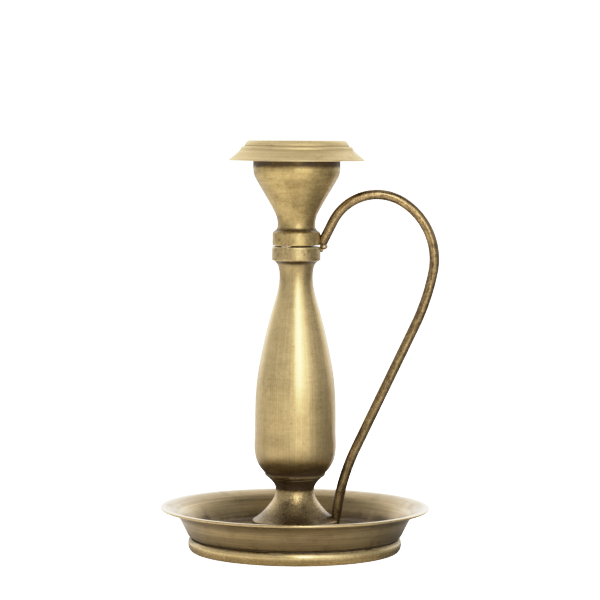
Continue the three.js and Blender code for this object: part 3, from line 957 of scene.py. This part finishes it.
def make_hex_nut(facets=180):
    """A nut whose corners are cut by a cone, which leaves the curved line on each flat."""
    low, high = heights("hex_nut")
    across = 10.0
    slope = math.tan(math.radians(30))
    flat = across / 2 * 0.96

    def hexagon(angle):
        turn = (angle + math.pi / 6) % (math.pi / 3) - math.pi / 6
        return across / 2 / math.cos(math.pi / 6 - abs(turn))

    o = Outline(ROD_HOLE - 0.2, low + 0.4).line(ROD_HOLE + 0.2, low).line(flat, low)
    rim = 6.0
    o.line(rim, low + 0.5).line(rim, high - 0.5)
    o.line(flat, high).line(ROD_HOLE + 0.2, high).line(ROD_HOLE - 0.2, high - 0.4)

    def cut(angle, r, z):
        if r <= flat + 1e-6:
            return r, z
        share = (r - flat) / (rim - flat)
        radius = hexagon(angle)
        drop = max(0.0, radius - flat) * slope
        height = low + drop * share if z < (low + high) / 2 else high - drop * share
        return flat + (radius - flat) * share, height

    mesh = turned("hex_nut_metal", o, facets=facets, shape=cut, reach=0.02)
    make_piece("hex_nut_metal", mesh, steel(), "stand", "steel", "hex_nut")


# ------------------------------------------------------------------ floor, light and camera

def floor_material(name, albedo, glow):
    """A matt floor with a glow of its own, so that it shows as pale as the backdrop."""
    f = Finish(name)
    shader = f.node("BsdfPrincipled")
    shader.inputs["Base Color"].default_value = (*albedo, 1)
    shader.inputs["Roughness"].default_value = 0.9
    shader.inputs["Specular IOR Level"].default_value = 0.1
    shader.inputs["Emission Color"].default_value = (1, 1, 1, 1)
    shader.inputs["Emission Strength"].default_value = glow
    f.put(shader.outputs[0], f.node("OutputMaterial").inputs[0])
    return f.material


def mirrored_floor_material():
    """Painted shade: darker close to the tray, and on the right, where the flag stands."""
    f = Finish("grey floor")
    place = f.node("TexCoord").outputs["Object"]
    apart = f.node("SeparateXYZ")
    f.put(place, apart.inputs[0])
    far = f.node("VectorMath", operation="LENGTH")
    f.put(place, far.inputs[0])
    # A painted contact shadow round the tray.
    near = f.step(far.outputs["Value"], 0.07, 0.2, 0.8, 1.0)
    tone = f.node("Mix", data_type="RGBA", blend_type="MULTIPLY")
    tone.inputs[0].default_value = 1.0
    f.put(azimuth_ramp(f, apart.outputs[0], apart.outputs[1], FLOOR_SIDES), tone.inputs[6])
    f.put(f.mix(near, (0, 0, 0), (0.80, 0.77, 0.72)), tone.inputs[7])
    shader = f.node("BsdfPrincipled")
    shader.inputs["Roughness"].default_value = 0.9
    shader.inputs["Specular IOR Level"].default_value = 0.1
    f.put(tone.outputs[2], shader.inputs["Base Color"])
    f.put(shader.outputs[0], f.node("OutputMaterial").inputs[0])
    return f.material


def make_plane(name, height, material, half=3.0):
    mesh = bpy.data.meshes.new(name)
    square = [(-half, -half), (half, -half), (half, half), (-half, half)]
    mesh.from_pydata([(x, y, height) for x, y in square], [], [(0, 1, 2, 3)])
    mesh.materials.append(material)
    plane = bpy.data.objects.new(name, mesh)
    bpy.context.scene.collection.objects.link(plane)
    return plane


def make_floor():
    """A pale floor for the camera, and a greyer one under it that the metal mirrors."""
    seen = make_plane("floor", 0.0, floor_material("pale floor", (0.6, 0.6, 0.6), 1.9))
    seen.visible_glossy = False
    seen.visible_diffuse = False
    seen.visible_shadow = False
    mirrored = make_plane("floor_in_reflections", -0.0002, mirrored_floor_material())
    mirrored.visible_camera = False
    mirrored.visible_shadow = False


# Brightness of the studio's walls by azimuth, in degrees from straight behind the camera, positive
# to the camera's right: a pale wall on the left, a dark flag on the right, white backdrop behind.
WALLS = [
    (-180, 1.8), (-138, 1.7), (-116, 0.9), (-85, 0.74), (-30, 0.81), (0, 0.8),
    (30, 0.8), (60, 0.70), (82, 0.53), (102, 0.50), (122, 1.1), (142, 1.7), (180, 1.8),
]
# Brightness by height, from straight down to straight up: in front, and on the backdrop's side.
FRONT = [
    (-1.0, 0.4), (-0.3, 0.45), (-0.05, 0.50), (0.06, 0.62), (0.28, 1.0), (0.44, 1.0),
    (0.64, 0.5), (0.84, 0.18), (1.0, 0.45),
]
BACK = [
    (-1.0, 0.4), (-0.3, 0.5), (-0.05, 0.62), (0.1, 0.8), (0.28, 0.92), (0.5, 0.8), (0.85, 0.7),
    (1.0, 0.45),
]
# How the floor's brightness goes with azimuth, as the metal mirrors it: painted shade on the flag's
# side.
FLOOR_SIDES = [
    (-180, 1.0), (-100, 0.85), (-60, 1.1), (0, 0.97), (35, 0.9), (65, 0.4), (80, 0.3),
    (115, 0.3), (140, 0.9), (180, 1.0),
]


def ramp(f, value, stops, low, high):
    """A smooth curve through stops of (place, brightness)."""
    made = f.node("ValToRGB")
    made.color_ramp.interpolation = "EASE"
    points = made.color_ramp.elements
    places = [(place - low) / (high - low) for place, _ in stops]
    points[0].position, points[1].position = places[0], places[-1]
    for place in places[1:-1]:
        points.new(place)
    for point, (_, level) in zip(points, stops):
        point.color = (level, level, level, 1)
    share = f.node("MapRange")
    for socket, given in zip(share.inputs, (value, low, high, 0.0, 1.0)):
        f.put(given, socket)
    f.put(share.outputs[0], made.inputs[0])
    return made.outputs[0]


def azimuth_ramp(f, x, y, stops):
    azimuth = f.math("ARCTAN2", x, f.math("MULTIPLY", y, -1.0))
    in_radians = [(math.radians(place), level) for place, level in stops]
    return ramp(f, azimuth, in_radians, -math.pi, math.pi)


class Sky(Finish):
    """The world's node tree."""

    def __init__(self):
        self.world = bpy.data.worlds.new("studio")
        self.world.use_nodes = True
        self.tree = self.world.node_tree
        self.tree.nodes.clear()


def make_studio():
    """The walls as the metal mirrors them, and a plain white for the camera."""
    f = Sky()
    apart = f.node("SeparateXYZ")
    f.put(f.node("TexCoord").outputs["Generated"], apart.inputs[0])
    x, y, z = apart.outputs
    flag_top, above = (0.40, 0.60), 0.74
    above_flag = f.step(z, *flag_top, 0.0, above)
    walls = f.math("MAXIMUM", azimuth_ramp(f, x, y, WALLS), above_flag)
    behind = f.step(y, -0.1, 0.4)
    levels = f.mix(behind, ramp(f, z, FRONT, -1.0, 1.0), ramp(f, z, BACK, -1.0, 1.0))
    product = f.node("Mix", data_type="RGBA", blend_type="MULTIPLY")
    product.inputs[0].default_value = 1.0
    f.put(walls, product.inputs[6])
    f.put(levels, product.inputs[7])
    studio = f.node("Background")
    f.put(product.outputs[2], studio.inputs[0])
    plain = f.node("Background")
    plain.inputs[0].default_value = (1, 1, 1, 1)
    plain.inputs[1].default_value = 2.2
    either = f.node("MixShader")
    f.put(f.node("LightPath").outputs["Is Camera Ray"], either.inputs[0])
    f.put(studio.outputs[0], either.inputs[1])
    f.put(plain.outputs[0], either.inputs[2])
    f.put(either.outputs[0], f.node("OutputWorld").inputs[0])
    bpy.context.scene.world = f.world


def make_light(name, azimuth, distance, centre, size, glow, colour=(1, 1, 1)):
    """An upright softbox that the camera doesn't see, facing the stem, of that radiance."""
    data = bpy.data.lights.new(name, "AREA")
    data.shape = "RECTANGLE"
    data.size, data.size_y = size
    data.energy = glow * math.pi * size[0] * size[1]
    data.color = colour
    light = bpy.data.objects.new(name, data)
    bpy.context.scene.collection.objects.link(light)
    angle = math.radians(azimuth)
    place = Vector((math.sin(angle), -math.cos(angle), 0)) * distance + Vector((0, 0, centre))
    light.location = AXIS + place
    aim = AXIS + Vector((0, 0, 0.12))
    light.rotation_euler = (aim - light.location).to_track_quat("-Z", "Y").to_euler()
    light.visible_camera = False
    return light


def make_lights():
    make_light("key", 11, 1.3, 0.73, (0.40, 1.3), 4.2, (1.0, 0.985, 0.95))
    make_light("key_side", 34, 1.3, 0.50, (0.45, 0.9), 0.9, (1.0, 0.98, 0.95))
    top = make_light("top", 0, 0.05, 1.5, (1.4, 1.4), 3.0)
    top.visible_glossy = False


def make_camera():
    """Just above the cap's height, 1.49 m in front of the stem, looking slightly down."""
    distance, height, aside = 1.490, 0.236, 0.00224
    down, roll = math.radians(3.63), math.radians(0.33)
    data = bpy.data.cameras.new("camera")
    data.sensor_width = 36
    data.lens = 159.66
    camera = bpy.data.objects.new("camera", data)
    bpy.context.scene.collection.objects.link(camera)
    turn = Matrix.Rotation(math.pi / 2 - down, 4, "X") @ Matrix.Rotation(roll, 4, "Z")
    camera.matrix_world = Matrix.Translation(AXIS + Vector((aside, -distance, height))) @ turn
    bpy.context.scene.camera = camera


def make_tone_curve():
    """Straight up to a linear 0.6, then bending over to reach white at 2, as a camera does."""
    view = bpy.context.scene.view_settings
    view.view_transform = "Standard"
    view.use_curve_mapping = True
    mapping = view.curve_mapping
    mapping.white_level = (2, 2, 2)
    points = mapping.curves[3].points
    bend = ((0.3, 0.3), (0.6, 0.6), (0.8, 0.77), (1.0, 0.865), (1.3, 0.94), (1.6, 0.98))
    for level, shown in bend:
        points.new(level / 2, shown)
    mapping.update()


# ------------------------------------------------------------------ the scene

make_foot_ring()
make_tray()
make_stem_foot()
make_stem()
make_candle_cup()
make_drip_cap()
make_candle_socket()
make_handle()
make_joints()
make_tie_rod()
make_washer()
make_lock_washer()
make_hex_nut()
make_floor()
make_studio()
make_lights()
make_camera()
make_tone_curve()
